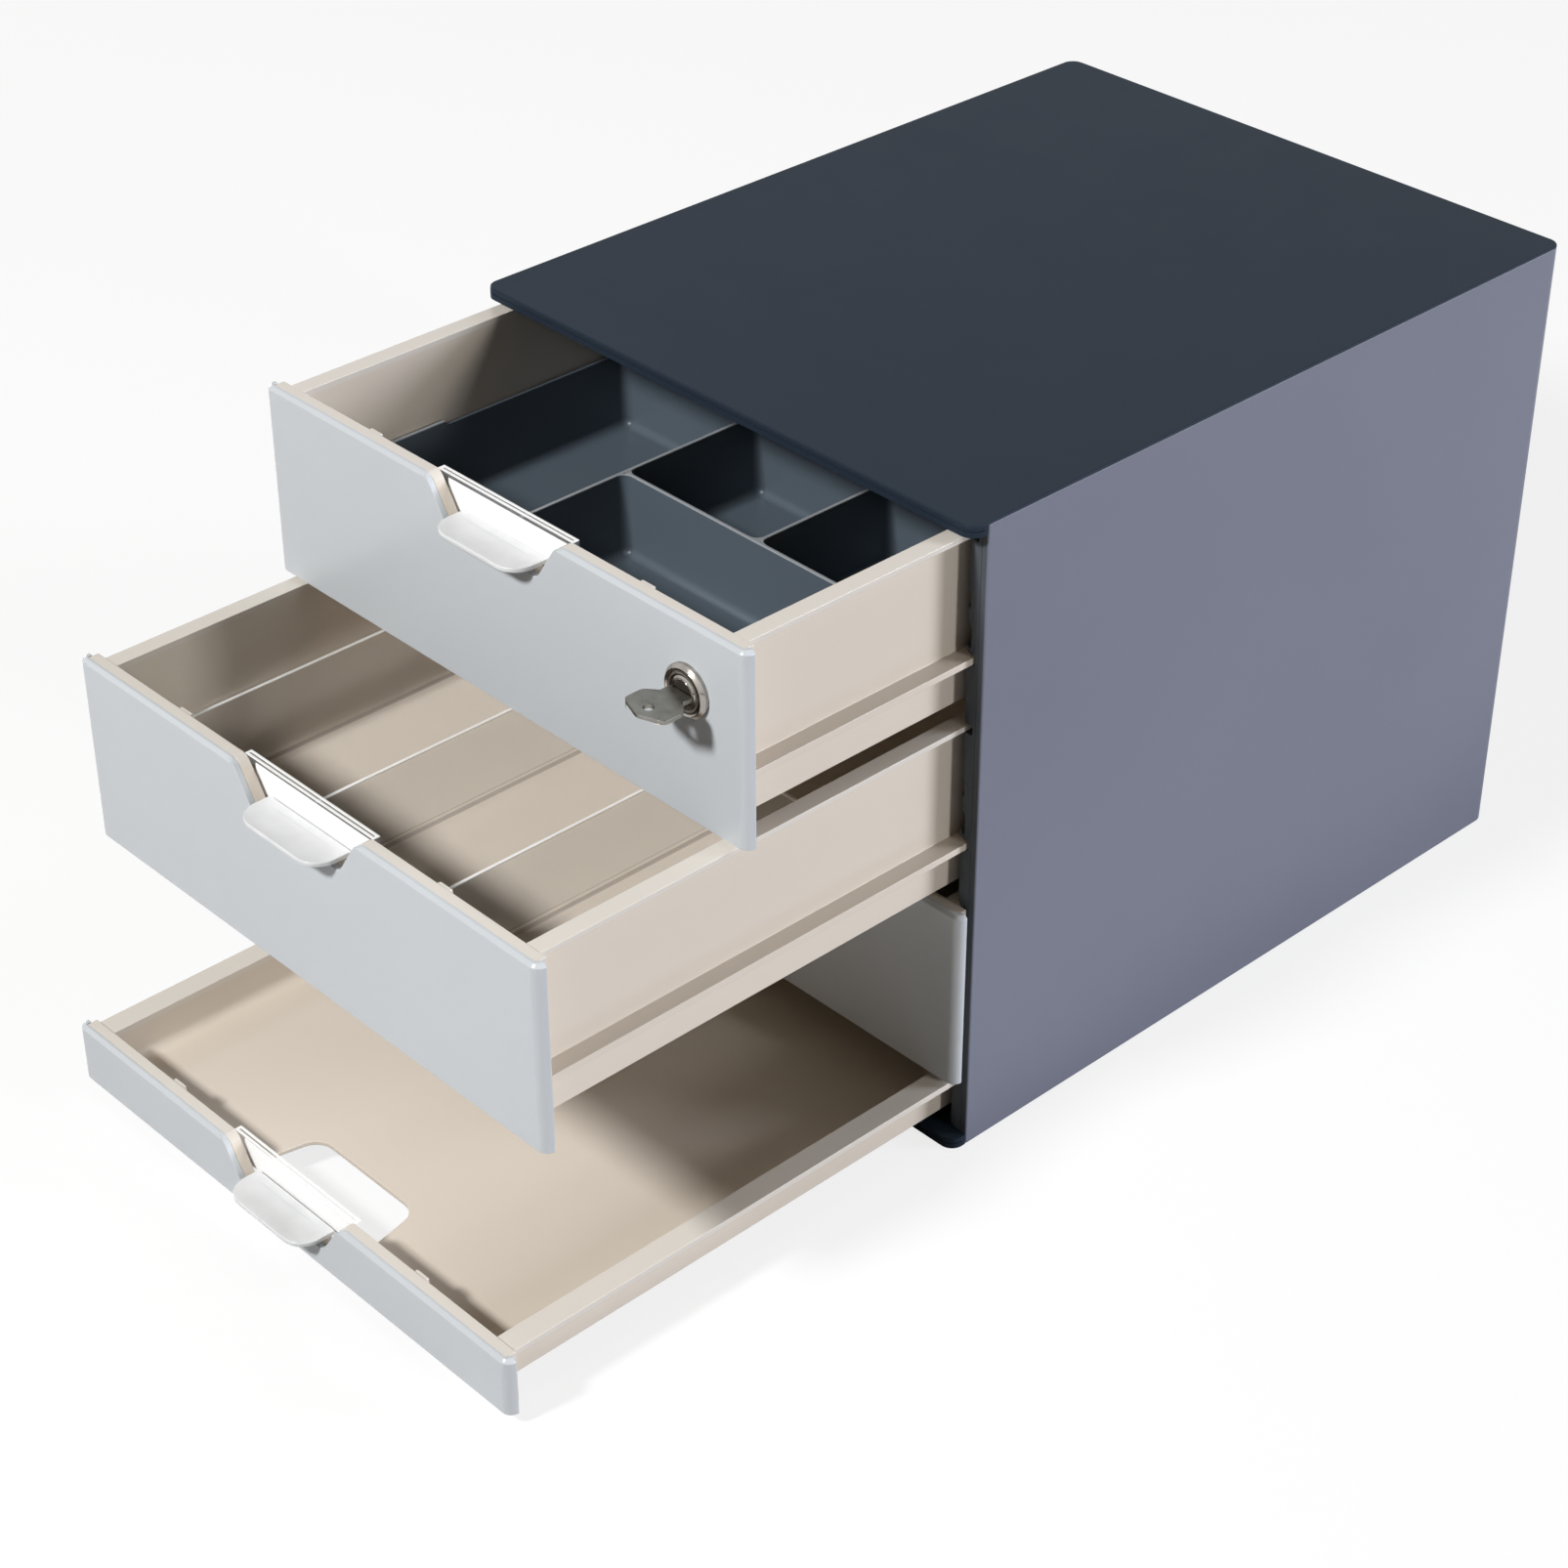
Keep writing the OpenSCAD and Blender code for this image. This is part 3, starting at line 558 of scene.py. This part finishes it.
class DRAWERBOX_OT_housing(bpy.types.Operator):
    """Model the plates, side panels, back panel, runner frames and pads"""
    bl_idname = "drawer_box.housing"
    bl_label = "Housing"

    def execute(self, context):
        for node, name in (("top_panel", "top_plate"), ("bottom_panel", "bottom_plate")):
            self.plate(node, name)
        for side in ("left", "right"):
            self.side_panel(side)
            frame_piece = merged_copy(f"{side}_runner_frame", f"{side}_runner")
            soften(frame_piece, sizes().fine_edge)
            dress(frame_piece, FINISHES["runner"], "housing", "runner", f"{side}_runner_frame")
        back = merged_copy("back_panel", "back_sheet")
        soften(back, sizes().fine_edge)
        dress(back, FINISHES["panel"], "housing", "side_panel", "back_panel")
        pads = merged_copy("rubber_pads", "anti_slip_pads")
        soften(pads, sizes().fine_edge)
        dress(pads, FINISHES["rubber"], "housing", "rubber", "rubber_pads")
        return {"FINISHED"}

    def plate(self, node, name):
        low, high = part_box(node)
        piece = merged_copy(node, name)
        middle = (low.z + high.z) / 2
        half = sizes().plate_groove / 2
        split_at(piece, middle - half)
        split_at(piece, middle + half)
        pick(piece, "FACE", lambda c, n: abs(c.z - middle) < half and n.y < -0.01)
        bpy.ops.mesh.extrude_region_shrink_fatten(TRANSFORM_OT_shrink_fatten={"value": -sizes().groove_depth})
        bpy.ops.object.mode_set(mode="OBJECT")
        outer = high.z if node == "top_panel" else low.z
        inset_x, inset_y = high.x - 0.01, high.y - 0.008
        round_edges(piece, lambda a, b: near(a.z, outer) and near(b.z, outer) and
                    (abs(a.x) > inset_x or abs(a.y) > inset_y), sizes().plate_edge, 3)
        smooth(piece)
        dress(piece, FINISHES["slate"], "housing", "housing", node)

    def side_panel(self, side):
        node = f"{side}_side_panel"
        low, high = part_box(node)
        piece = merged_copy(node, f"{side}_panel")
        outer = high.x if side == "right" else low.x
        round_edges(piece, lambda a, b: near(a.y, low.y) and near(b.y, low.y) and
                    near(a.x, outer) and near(b.x, outer), sizes().panel_edge, 3)
        soften(piece, sizes().fine_edge)
        dress(piece, FINISHES["panel"], "housing", "side_panel", node)
        face_finish(piece, FINISHES["runner"], lambda c, n: n.y < -0.9 and c.y < low.y + 0.001)


class DRAWERBOX_OT_fronts(bpy.types.Operator):
    """Model the grey covers of the drawer fronts"""
    bl_idname = "drawer_box.fronts"
    bl_label = "Front covers"

    def execute(self, context):
        low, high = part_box("lock_plug")
        axis = (low + high) / 2
        through_lock = ((axis, (1, 0, 0)), (axis, (0, 0, 1)))
        for drawer in DRAWERS:
            node = f"{drawer}_front_cover"
            piece = merged_copy(node, f"{drawer}_cover", through_lock if drawer == "top" else ())
            soften(piece, sizes().cover_edge, 3)
            dress(piece, FINISHES["cover"], f"{drawer}_drawer", "cover", node)
        return {"FINISHED"}


class DRAWERBOX_OT_trays(bpy.types.Operator):
    """Model the trays with their filleted floors"""
    bl_idname = "drawer_box.trays"
    bl_label = "Trays"

    def execute(self, context):
        for drawer in DRAWERS:
            self.tray(drawer)
        return {"FINISHED"}

    def tray(self, drawer):
        node = f"{drawer}_tray"
        piece = merged_copy(node, f"{drawer}_tray_shell")
        floor, inner, front, back = self.inside(piece)
        tall = drawer in TALL
        radius = sizes().tray_fillet if tall else sizes().flat_fillet

        def on_wall(p):
            return near(abs(p.x), inner) or near(p.y, back) or (tall and near(p.y, front))

        def floor_edge(a, b):
            if not (near(a.z, floor) and near(b.z, floor) and on_wall(a) and on_wall(b)):
                return False
            same_side = near(a.x, b.x) and near(abs(a.x), inner)
            across = near(a.y, b.y) and (near(a.y, back) or (tall and near(a.y, front)))
            return same_side or across

        round_edges(piece, floor_edge, radius, 6)
        soften(piece, sizes().fine_edge)
        dress(piece, FINISHES[f"{drawer} tray"], f"{drawer}_drawer", "tray", node)

    def inside(self, piece):
        """Level of the floor, half width, front and back of a tray's hollow, read from its faces."""
        faces = piece.data.polygons
        deep = max((f for f in faces if f.normal.z > 0.99), key=lambda f: f.area)
        points = [piece.data.vertices[i].co for i in deep.vertices]
        depths = [p.y for p in points]
        return deep.center.z, max(p.x for p in points), min(depths), max(depths)


class DRAWERBOX_OT_inserts(bpy.types.Operator):
    """Model the dark and the clear insert with filleted compartments"""
    bl_idname = "drawer_box.inserts"
    bl_label = "Inserts"

    def execute(self, context):
        for node, name, finish, body, slot in (
                ("capsule_insert", "capsule_bays", "insert", "top_drawer", "dark_insert"),
                ("clear_insert", "clear_bays", "clear", "upper_drawer", "clear")):
            piece = merged_copy(node, name)
            floor = min(f.center.z for f in piece.data.polygons if f.normal.z > 0.99)
            round_edges(piece, lambda a, b: near(a.z, floor) and near(b.z, floor), sizes().insert_fillet, 4)
            soften(piece, sizes().fine_edge)
            dress(piece, FINISHES[finish], body, slot, node)
        return {"FINISHED"}


class DRAWERBOX_OT_pulls(bpy.types.Operator):
    """Model the label windows, grip lips and cards"""
    bl_idname = "drawer_box.pulls"
    bl_label = "Pulls"

    def execute(self, context):
        for drawer in DRAWERS:
            self.window(drawer)
            self.lip(drawer)
            paint(f"{drawer}_label", FINISHES["card"])
        return {"FINISHED"}

    def window_front(self, drawer):
        """Front plane of a window, as far before its card as the back plane is behind it."""
        card_low, card_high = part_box(f"{drawer}_label")
        return card_low.y + card_high.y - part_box(f"{drawer}_pull")[1].y

    def window(self, drawer):
        low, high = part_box(f"{drawer}_pull")
        front = self.window_front(drawer)
        slot_depth = high.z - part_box(f"{drawer}_label")[0].z
        piece = block(f"{drawer}_window", (low.x, front, low.z), high)
        pick(piece, "FACE", lambda c, n: n.z > 0.9)
        bpy.ops.mesh.inset(thickness=(high.y - front) / 2 - sizes().slot_gap)
        bpy.ops.mesh.extrude_region_move(TRANSFORM_OT_translate={"value": (0, 0, -slot_depth)})
        bpy.ops.object.mode_set(mode="OBJECT")
        soften(piece, sizes().fine_edge)
        dress(piece, FINISHES[f"{drawer} window"], f"{drawer}_drawer", "clear_pull")

    def lip(self, drawer):
        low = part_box(f"{drawer}_pull")[0]
        front = self.window_front(drawer)
        size = sizes()
        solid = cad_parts[f"{drawer}_pull"].data
        forward = [v.co for v in solid.vertices if v.co.y < front - 0.001]
        half = max(abs(p.x) for p in forward)
        under, over = min(p.z for p in forward), max(p.z for p in forward)
        piece = block(f"{drawer}_lip", (-half, low.y, under), (half, front, over))
        round_edges(piece, lambda a, b: near(a.y, low.y) and near(b.y, low.y) and near(a.x, b.x),
                    size.lip_corner, 10)
        for step, drop in ((size.lip_rim, 0.6), (size.lip_slope, 0.3), (size.lip_slope, 0.1)):
            pick(piece, "FACE", lambda c, n: n.z > 0.99 and abs(c.x) < 0.002)
            bpy.ops.mesh.inset(thickness=step)
            bpy.ops.transform.translate(value=(0, 0, -drop * size.lip_hollow))
            bpy.ops.object.mode_set(mode="OBJECT")
        soften(piece, size.lip_edge, 3)
        dress(piece, FINISHES["frosted"], f"{drawer}_drawer", "clear_pull", f"{drawer}_pull")


class DRAWERBOX_OT_lock(bpy.types.Operator):
    """Model the cam lock and its key"""
    bl_idname = "drawer_box.lock"
    bl_label = "Lock and key"

    def execute(self, context):
        self.barrel()
        for node, name, finish, body, slot in (
                ("lock_plug", "lock_core_face", "nickel", "lock_core", "nickel"),
                ("lock_nut", "barrel_nut", "steel", "top_drawer", "nickel"),
                ("lock_cam", "cam_plate", "steel", "lock_core", "steel"),
                ("cam_screw", "cam_fixing", "steel", "lock_core", "steel")):
            piece = merged_copy(node, name)
            soften(piece, sizes().lock_edge)
            dress(piece, FINISHES[finish], body, slot, node)
            if node == "lock_plug":
                # Painted dark reflection on the plug's flat front faces.
                face_finish(piece, FINISHES["lock_face"], lambda c, n: n.y < -0.95)
        self.key()
        return {"FINISHED"}

    def barrel(self):
        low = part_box("lock_barrel")[0]
        piece = merged_copy("lock_barrel", "lock_flange")
        for rim, sink in FLANGE_STEPS:
            pick(piece, "FACE", lambda c, n: n.y < -0.99 and c.y < low.y + 0.001)
            bpy.ops.mesh.inset(thickness=rim)
            bpy.ops.transform.translate(value=(0, sink, 0))
            bpy.ops.object.mode_set(mode="OBJECT")
        soften(piece, sizes().lock_edge)
        dress(piece, FINISHES["nickel"], "top_drawer", "nickel", "lock_barrel")
        # Painted dark reflection on the flange's flat front faces.
        face_finish(piece, FINISHES["lock_face"], lambda c, n: n.y < -0.95)

    def key(self):
        low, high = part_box("key")
        size = sizes()
        piece = merged_copy("key", "door_key")
        round_edges(piece, lambda a, b: near(a.x, b.x) and near(a.y, b.y) and a.y < low.y + size.key_bow,
                    size.key_corner, 4)
        for level, sink in ((high.z, -size.key_sink), (low.z, size.key_sink)):
            pick(piece, "FACE", lambda c, n: near(c.z, level))
            bpy.ops.mesh.inset(thickness=size.key_border)
            bpy.ops.transform.translate(value=(0, 0, sink))
            bpy.ops.object.mode_set(mode="OBJECT")
        soften(piece, size.key_edge)
        dress(piece, FINISHES["key"], "key", "nickel", "key")


class DRAWERBOX_OT_stage(bpy.types.Operator):
    """Set the floor, the light and the camera"""
    bl_idname = "drawer_box.stage"
    bl_label = "Stage"

    def execute(self, context):
        self.floor()
        self.world()
        for lamp in LAMPS:
            self.lamp(*lamp)
        self.camera()
        bpy.context.scene.view_settings.view_transform = "Standard"
        return {"FINISHED"}

    def floor(self):
        bpy.ops.object.select_all(action="DESELECT")
        bpy.ops.mesh.primitive_plane_add(size=FLOOR_SIZE, location=(0, 0, -FLOOR_DROP))
        floor = bpy.context.object
        floor.name = "studio_floor"
        bpy.ops.object.transform_apply(location=True)
        finish = Finish("studio floor")
        speck = finish.noise(30.0)
        rays = finish.tree.nodes.new("ShaderNodeLightPath")
        pale = finish.blend(speck, *FLOOR_TONES)
        finish.join(finish.over(rays.outputs["Is Diffuse Ray"], pale, FLOOR_BOUNCE),
                    finish.shader.inputs["Base Color"])
        finish.set(Roughness=0.9, Specular_IOR_Level=0.0)
        share = finish.times(rays.outputs["Is Camera Ray"], FLOOR_GLOW)
        paper = finish.tree.nodes.new("ShaderNodeEmission")
        both = finish.tree.nodes.new("ShaderNodeMixShader")
        finish.join(share, both.inputs["Fac"])
        finish.join(finish.shader.outputs["BSDF"], both.inputs[1])
        finish.join(paper.outputs["Emission"], both.inputs[2])
        finish.join(both.outputs["Shader"], finish.tree.nodes["Material Output"].inputs["Surface"])
        floor.data.materials.append(finish.material)

    def world(self):
        world = bpy.data.worlds.new("studio")
        bpy.context.scene.world = world
        world.use_nodes = True
        tree = world.node_tree
        rays = tree.nodes.new("ShaderNodeLightPath")
        seen = figure(tree, "MAXIMUM", rays.outputs["Is Camera Ray"], rays.outputs["Is Glossy Ray"])
        through = figure(tree, "MAXIMUM", seen, rays.outputs["Is Transmission Ray"])
        light = tree.nodes.new("ShaderNodeMix")
        light.data_type = "RGBA"
        Finish.plug(light, "A").default_value = (*FILL, 1.0)
        Finish.plug(light, "B").default_value = (*WHITE, 1.0)
        tree.links.new(through, light.inputs["Factor"])
        result = next(o for o in light.outputs if o.type == "RGBA")
        tree.links.new(result, tree.nodes["Background"].inputs["Color"])

    def lamp(self, name, place, size, watts, tint):
        bpy.ops.object.select_all(action="DESELECT")
        bpy.ops.object.light_add(type="AREA", location=place)
        lamp = bpy.context.object
        lamp.name = name
        lamp.data.shape = "DISK"
        lamp.data.size = size
        lamp.data.energy = watts
        lamp.data.color = tint
        aim = AIM - Vector(place)
        lamp.rotation_euler = aim.to_track_quat("-Z", "Y").to_euler()

    def camera(self):
        bpy.ops.object.select_all(action="DESELECT")
        bpy.ops.object.camera_add(location=CAMERA_PLACE)
        camera = bpy.context.object
        camera.name = "photo_camera"
        camera.data.sensor_width = 36.0
        camera.data.lens = CAMERA_LENS
        camera.rotation_euler = (math.pi / 2 - CAMERA_DOWN, 0, CAMERA_TURN)
        bpy.context.scene.camera = camera


class DRAWERBOX_PT_panel(bpy.types.Panel):
    """Sidebar panel with the sizes, the colours and the steps"""
    bl_idname = "DRAWERBOX_PT_panel"
    bl_label = "Drawer box"
    bl_space_type = "VIEW_3D"
    bl_region_type = "UI"
    bl_category = "Drawer box"

    def draw(self, context):
        layout = self.layout
        for step in STEPS:
            layout.operator(step.bl_idname)
        for group in (context.scene.drawer_box_sizes, context.scene.drawer_box_colours):
            box = layout.box()
            for name in group.__annotations__:
                box.prop(group, name)


STEPS = (
    DRAWERBOX_OT_finishes,
    DRAWERBOX_OT_housing,
    DRAWERBOX_OT_fronts,
    DRAWERBOX_OT_trays,
    DRAWERBOX_OT_inserts,
    DRAWERBOX_OT_pulls,
    DRAWERBOX_OT_lock,
    DRAWERBOX_OT_stage,
)
CLASSES = (DrawerBoxSizes, DrawerBoxColours) + STEPS + (DRAWERBOX_PT_panel,)


def register():
    for cls in CLASSES:
        bpy.utils.register_class(cls)
    bpy.types.Scene.drawer_box_sizes = PointerProperty(type=DrawerBoxSizes)
    bpy.types.Scene.drawer_box_colours = PointerProperty(type=DrawerBoxColours)


def unregister():
    del bpy.types.Scene.drawer_box_sizes
    del bpy.types.Scene.drawer_box_colours
    for cls in reversed(CLASSES):
        bpy.utils.unregister_class(cls)


def main():
    register()
    bpy.ops.drawer_box.finishes()
    bpy.ops.drawer_box.housing()
    bpy.ops.drawer_box.fronts()
    bpy.ops.drawer_box.trays()
    bpy.ops.drawer_box.inserts()
    bpy.ops.drawer_box.pulls()
    bpy.ops.drawer_box.lock()
    bpy.ops.drawer_box.stage()


if __name__ == "__main__":
    main()
